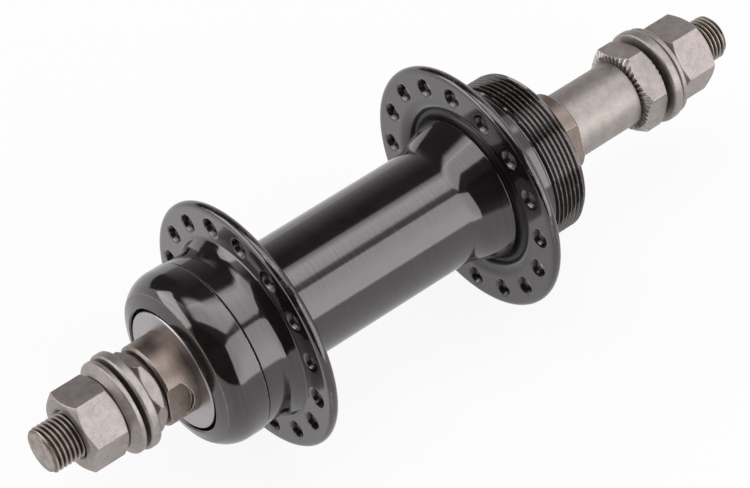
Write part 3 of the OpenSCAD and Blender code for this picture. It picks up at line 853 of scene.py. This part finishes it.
def axle_nut_piece(name, way, turn, material):
    """A hexagon with a bevelled mouth, its collar through the flange and the rolled lip."""
    bore = [(COLLAR_R, NUT_NEAR), (COLLAR_R, COLLAR_Y), (LIP_R, COLLAR_Y), (LIP_R, LIP_Y),
            (NUT_BORE, LIP_Y), (NUT_BORE, NUT_FAR - NUT_MOUTH), (NUT_BORE + NUT_MOUTH, NUT_FAR)]
    piece = hexagon(name, way, turn, af=NUT_AF, near=NUT_NEAR, far=NUT_FAR, face_r=7.3,
                    slope=32.0, bore=bore)
    return worn_edges(finish_mesh(piece, material), 0.2)


def left_locknut_piece(material):
    """The thin locknut whose deep bevels leave lens-shaped flats."""
    near, far = LEFT_LOCKNUT_IN, LOCKNUT_Y
    bore = [(LOCKNUT_MOUTH, near), (LOCKNUT_BORE, near + LOCKNUT_BEVEL),
            (LOCKNUT_BORE, far - LOCKNUT_BEVEL), (LOCKNUT_MOUTH, far)]
    piece = hexagon("locknut", 1, 38.0, af=LEFT_LOCKNUT_AF, near=near, far=far, face_r=6.934,
                    slope=42.0, bore=bore)
    return worn_edges(finish_mesh(piece, material), 0.14)


def right_locknut_piece(material, serrate):
    """The thick locknut with radial teeth on both faces."""
    near, far = RIGHT_LOCKNUT_IN, LOCKNUT_Y
    bore = [(TEETH_R, near), (LOCKNUT_MOUTH, near), (LOCKNUT_BORE, near + LOCKNUT_BEVEL),
            (LOCKNUT_BORE, far - LOCKNUT_BEVEL), (LOCKNUT_MOUTH, far), (TEETH_R, far)]
    piece = hexagon("toothed_locknut", -1, 35.5, af=RIGHT_LOCKNUT_AF, near=near, far=far,
                    face_r=8.3, slope=38.0, bore=bore, columns=6 * TEETH, face_rings=(6.16, 7.2))
    run_tree(piece, serrate, {
        "Count": TEETH, "Depth": TOOTH_DEPTH * MM, "Share": TOOTH_SHARE}, material)
    return finish_mesh(piece, material)


# The studio
def add_lamp(name, place, target, wide, high, radiance, spin=0, fade=None):
    """A soft rectangular lamp, spun about its own axis by degrees. Without a fade it shines
    evenly. A fade gives the shares of its surface over which it dims: towards the edges where
    the surface's first coordinate is 0 and 1, and where the second is 0 and 1."""
    data = bpy.data.lights.new(name, "AREA")
    data.shape = "RECTANGLE"
    data.size, data.size_y = wide, high
    data.energy = radiance * math.pi * wide * high
    lamp = link(name, data)
    look = (Vector(place) - Vector(target)).to_track_quat("Z", "Y")
    spun = Matrix.Rotation(math.radians(spin), 4, "Z")
    lamp.matrix_world = Matrix.Translation(place) @ look.to_matrix().to_4x4() @ spun
    lamp.visible_camera = False
    if fade:
        data.use_nodes = True
        graph = Graph(data.node_tree)
        across, up, _ = graph.split(graph.node("ShaderNodeNewGeometry").outputs["Parametric"])
        share = graph.times(
            graph.smooth(across, 0.0, fade[0]), graph.smooth(across, 1.0, 1.0 - fade[1]),
            graph.smooth(up, 0.0, fade[2]), graph.smooth(up, 1.0, 1.0 - fade[3]))
        graph.feed(data.node_tree.nodes["Emission"].inputs["Strength"], share)


def towards(azimuth, elevation, distance):
    """A point at an azimuth from +Y towards -X and an elevation, in degrees."""
    a, e = math.radians(azimuth), math.radians(elevation)
    way = Vector((-math.sin(a) * math.cos(e), math.cos(a) * math.cos(e), math.sin(e)))
    return way * distance


def add_world():
    """White for the camera and for reflections, dark behind the camera, low for diffuse light."""
    world = bpy.data.worlds.new("studio")
    bpy.context.scene.world = world
    world.use_nodes = True
    graph = Graph(world.node_tree)
    back = world.node_tree.nodes["Background"]
    path = graph.node("ShaderNodeLightPath").outputs
    x, y, z = graph.split(graph.node("ShaderNodeTexCoord").outputs["Generated"])
    lens = graph.total(graph.times(x, CAMERA_BACK[0]), graph.times(y, CAMERA_BACK[1]),
                       graph.times(z, CAMERA_BACK[2]))
    dark = graph.times(graph.smooth(lens, 0.45, 0.75), WORLD_DARK)
    shine = graph.calc("MAXIMUM", path["Is Glossy Ray"], path["Is Transmission Ray"])
    strength = graph.total(path["Is Camera Ray"], graph.times(shine, graph.less(1.0, dark)),
                           graph.times(path["Is Diffuse Ray"], WORLD_FILL))
    graph.feed(back.inputs["Strength"], strength)
    back.inputs["Color"].default_value = WHITE


def new_stage_mesh(name, half_x, half_y, z=0.0):
    """A rectangle of the studio with a material of its own: its object, graph and output."""
    mesh = bpy.data.meshes.new(name)
    corners = [(-half_x, -half_y, z), (half_x, -half_y, z), (half_x, half_y, z),
               (-half_x, half_y, z)]
    mesh.from_pydata(corners, [], [(0, 1, 2, 3)])
    made = bpy.data.materials.new(name)
    made.use_nodes = True
    mesh.materials.append(made)
    surface = made.node_tree.nodes["Material Output"].inputs["Surface"]
    return link(name, mesh), Graph(made.node_tree), surface


def add_flag(name, azimuth, elevation, distance, wide, high, dark, light=0.0, glow=0.0):
    """A board that only reflections see: dark above, lighter at its low left, soft on top."""
    x, y = wide / 2, high / 2
    board, graph, surface = new_stage_mesh(name, x, y)
    place = towards(azimuth, elevation, distance)
    look = place.to_track_quat("Z", "Y").to_matrix().to_4x4()
    board.matrix_world = Matrix.Translation(place) @ look
    graph.tree.nodes.remove(graph.tree.nodes["Principled BSDF"])
    across, up, _ = graph.split(graph.node("ShaderNodeTexCoord").outputs["Object"])
    low = graph.times(graph.smooth(up, 0.35 * y, -y), graph.smooth(across, 0.0, -0.8 * x), light)
    top = graph.times(graph.smooth(up, y - SOFT_EDGE, y), glow)
    shine = graph.node("ShaderNodeEmission", {
        "Color": BOARD_TINT, "Strength": graph.total(dark, low, top)})
    graph.feed(surface, shine.outputs[0])
    board.visible_camera = False
    board.visible_diffuse = False
    board.visible_shadow = False
    board.visible_transmission = False


def add_floor():
    """A white floor just under the flanges: bright in itself, with a faint share for shadows. It
    has a painted shadow under the hub that only reflections see, and is fully white away from it."""
    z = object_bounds()[0].z - FLOOR_GAP
    floor, graph, surface = new_stage_mesh("floor", FLOOR_HALF, FLOOR_HALF, z)
    shader = graph.tree.nodes["Principled BSDF"]
    shader.inputs["Base Color"].default_value = FLOOR_GREY
    shader.inputs["Roughness"].default_value = 0.9
    path = graph.node("ShaderNodeLightPath").outputs
    seen = graph.calc("MAXIMUM", path["Is Camera Ray"], graph.calc(
        "MAXIMUM", path["Is Glossy Ray"], path["Is Transmission Ray"]))
    glow = graph.node("ShaderNodeEmission", {"Color": WHITE, "Strength": 1.0})
    x, y, _ = graph.split(graph.node("ShaderNodeTexCoord").outputs["Object"])
    # A painted shadow under the hub, seen only in reflections
    under = graph.times(graph.smooth(graph.calc("ABSOLUTE", x), 0.05, 0.01),
                        graph.smooth(graph.calc("ABSOLUTE", y), 0.075, 0.045))
    shade = graph.times(under, path["Is Glossy Ray"], UNDER_HUB_SHADOW)
    white = graph.times(graph.smooth(graph.length(x, y), 0.25, 0.8), path["Is Camera Ray"],
                        1.0 - FLOOR_GLOW)
    share = graph.times(seen, graph.less(graph.total(white, FLOOR_GLOW), shade))
    mix = graph.node("ShaderNodeMixShader", {0: share, 1: shader.outputs[0], 2: glow.outputs[0]})
    graph.feed(surface, mix.outputs[0])


def add_camera():
    """The photograph's view: over the left end, from above."""
    data = bpy.data.cameras.new("camera")
    data.sensor_width = 36.0
    data.lens = CAMERA_LENS
    data.clip_start = 0.01
    data.clip_end = 20.0
    camera = link("camera", data)
    back = Vector(CAMERA_BACK).normalized()
    right = Vector((0, 0, 1)).cross(back).normalized()
    turn = Matrix((right, back.cross(right), back)).transposed().to_4x4()
    camera.matrix_world = Matrix.Translation(CAMERA_PLACE) @ turn
    bpy.context.scene.camera = camera


def dress_nodes(nodes, looks):
    """Gives the CAD nodes that stay their materials."""
    for name, material in looks.items():
        piece = nodes[name]
        piece.data.materials.clear()
        piece.data.materials.append(material)


def seat(piece, body, slot_name, *replaced):
    """Lets a finished piece ride on its body and stand for its nodes."""
    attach(piece, body)
    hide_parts(*replaced)


repeat, wind, serrate = ring_repeat_tree(), helical_thread_tree(), serration_tree()
plating, rod, balls = black_plating(), axle_steel(), ball_steel()
nut_steel = steel("nut_steel", (0.22, 0.193, 0.183), (0.48, 0.43, 0.412),
                  rough=0.5, fine=4.0, streak=0.25)
cone_steel = steel("cone_steel", (0.145, 0.114, 0.096), (0.285, 0.238, 0.212),
                   rough=0.42, fine=7.0, streak=0.2, stain=0.4)
spacer_steel = steel("spacer_steel", (0.24, 0.212, 0.2), (0.44, 0.4, 0.384),
                     rough=0.5, fine=6.0, streak=0.15, stain=0.3)
washer_steel = steel("washer_steel", (0.22, 0.194, 0.184), (0.47, 0.422, 0.405),
                     rough=0.48, fine=5.0, streak=0.25)
dust_steel = steel("dust_cap_steel", (0.36, 0.335, 0.34), (0.44, 0.41, 0.42),
                   rough=0.36, fine=8.0, streak=0.1, pits=0.2, stain=0.05)
race_steel = steel("race_steel", (0.4, 0.385, 0.38), (0.6, 0.58, 0.57),
                   rough=0.2, fine=8.0, streak=0.2, pits=0.2)

seat(shell_piece(plating, repeat, wind), "hub", "shell_paint", "hub_shell")
seat(cap_piece(plating), "hub", "shell_paint", "left_end_cap")
seat(axle_piece(rod, wind), "axle_set", "axle_steel", "axle")
seat(left_locknut_piece(nut_steel), "axle_set", "nut_steel", "left_locknut")
seat(right_locknut_piece(nut_steel, serrate), "axle_set", "nut_steel", "right_locknut")
seat(axle_nut_piece("left_nut", 1, 41.0, nut_steel), "left_nut", "nut_steel", "left_axle_nut")
seat(axle_nut_piece("right_nut", -1, 44.5, nut_steel), "right_nut", "nut_steel", "right_axle_nut")
dress_nodes(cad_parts, {
    "left_bearing_cup": race_steel, "right_bearing_cup": race_steel,
    "left_balls": balls, "right_balls": balls,
    "left_cone": cone_steel, "right_cone": cone_steel,
    "left_dust_cap": dust_steel, "right_dust_cap": dust_steel,
    "right_spacer": spacer_steel,
    "left_washer": washer_steel, "right_washer": washer_steel,
    "left_nut_flange": nut_steel, "right_nut_flange": nut_steel,
})

add_floor()
add_world()
add_lamp("overhead", (0.122, -0.003, 1.0), (0.122, -0.003, 0.0), wide=0.84, high=1.5,
         radiance=2.45, spin=-33, fade=(0.3, 0.04, 0.24, 0.03))
add_lamp("left_box", towards(106, 24, 1.0), (0, 0, 0), wide=1.06, high=0.98, radiance=2.4)
add_lamp("right_box", towards(321, 26, 1.0), (0, 0, 0), wide=0.95, high=0.5, radiance=3.0)
add_flag("front_flag", 40, 26, 0.9, wide=1.45, high=1.15, dark=0.03)
add_flag("far_flag", 260, 37, 1.2, wide=1.6, high=1.8, dark=0.08, light=0.9, glow=1.5)
add_camera()

bpy.context.scene.view_settings.view_transform = "Standard"
